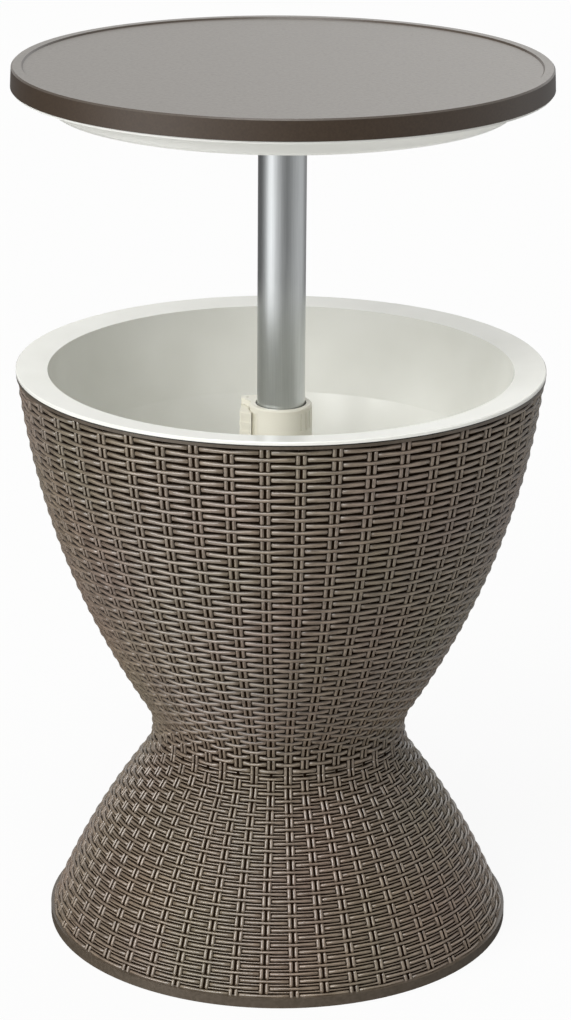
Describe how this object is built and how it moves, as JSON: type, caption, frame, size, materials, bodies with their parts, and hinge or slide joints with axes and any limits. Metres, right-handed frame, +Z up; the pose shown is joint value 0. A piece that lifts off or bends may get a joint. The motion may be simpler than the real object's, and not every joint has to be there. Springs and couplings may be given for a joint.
{
  "type": "cooler table with lid",
  "caption": "Round hourglass patio table in wicker-look plastic with an insulated cooler tub under a top that rises, turns and lowers on a clamped mast.",
  "frame": {"origin": "centre of the foot ring on the floor, with the lid raised", "axes": "+Z up along the mast, the viewer's side towards -Y, the clamp lever on the -X side, the drain at +Y"},
  "size_m": [0.4958, 0.4958, 0.84],
  "materials": {
    "lid_brown": "moulded, fine grain",
    "white_plastic": "smooth, satin",
    "wicker_brown": "moulded weave",
    "collar_cream": "moulded, satin",
    "bush_grey": "moulded, smooth",
    "seal_rubber": "matt",
    "mast_aluminium": "drawn, satin",
    "screw_steel": "zinc plated"
  },
  "bodies": {
    "stand": {"cooler_tub": "white_plastic", "bowl_shell": "wicker_brown", "base_shell": "wicker_brown", "guide_sleeve": "collar_cream", "sleeve_nut": "bush_grey", "waist_screws": "screw_steel", "collar_body": "collar_cream", "guide_bush": "bush_grey", "lever_pin": "screw_steel", "drain_fitting": "white_plastic", "drain_gasket": "seal_rubber", "drain_nut": "white_plastic"},
    "slider": {"foot_ring": "bush_grey"},
    "top": {"tabletop": "lid_brown", "lid_liner": "white_plastic", "liner_screws": "screw_steel", "mast_head": "white_plastic", "head_screws": "screw_steel", "head_rivets": "mast_aluminium", "mast_tube": "mast_aluminium", "snap_ring": "screw_steel", "mast_foot": "bush_grey", "stop_bumper": "seal_rubber"},
    "lever": {"clamp_lever": "collar_cream"},
    "plug": {"drain_plug": "white_plastic", "plug_seal": "seal_rubber"}
  },
  "joints": [
    {"name": "mast_slide", "type": "slide", "parent": "stand", "child": "slider", "axis": [0, 0, 1], "range_m": [-0.262, 0]},
    {"name": "lid_turn", "type": "hinge", "parent": "slider", "child": "top", "pos_m": [0, 0, 0.393], "axis": [0, 0, 1], "continuous": true},
    {"name": "clamp_lever_swing", "type": "hinge", "parent": "stand", "child": "lever", "pos_m": [-0.03149, 0.01703, 0.5005], "axis": [0, 0, -1], "range_deg": [0, 100]},
    {"name": "drain_pull", "type": "slide", "parent": "stand", "child": "plug", "axis": [0, 0.8929, -0.4502], "range_m": [0, 0.03]}
  ]
}
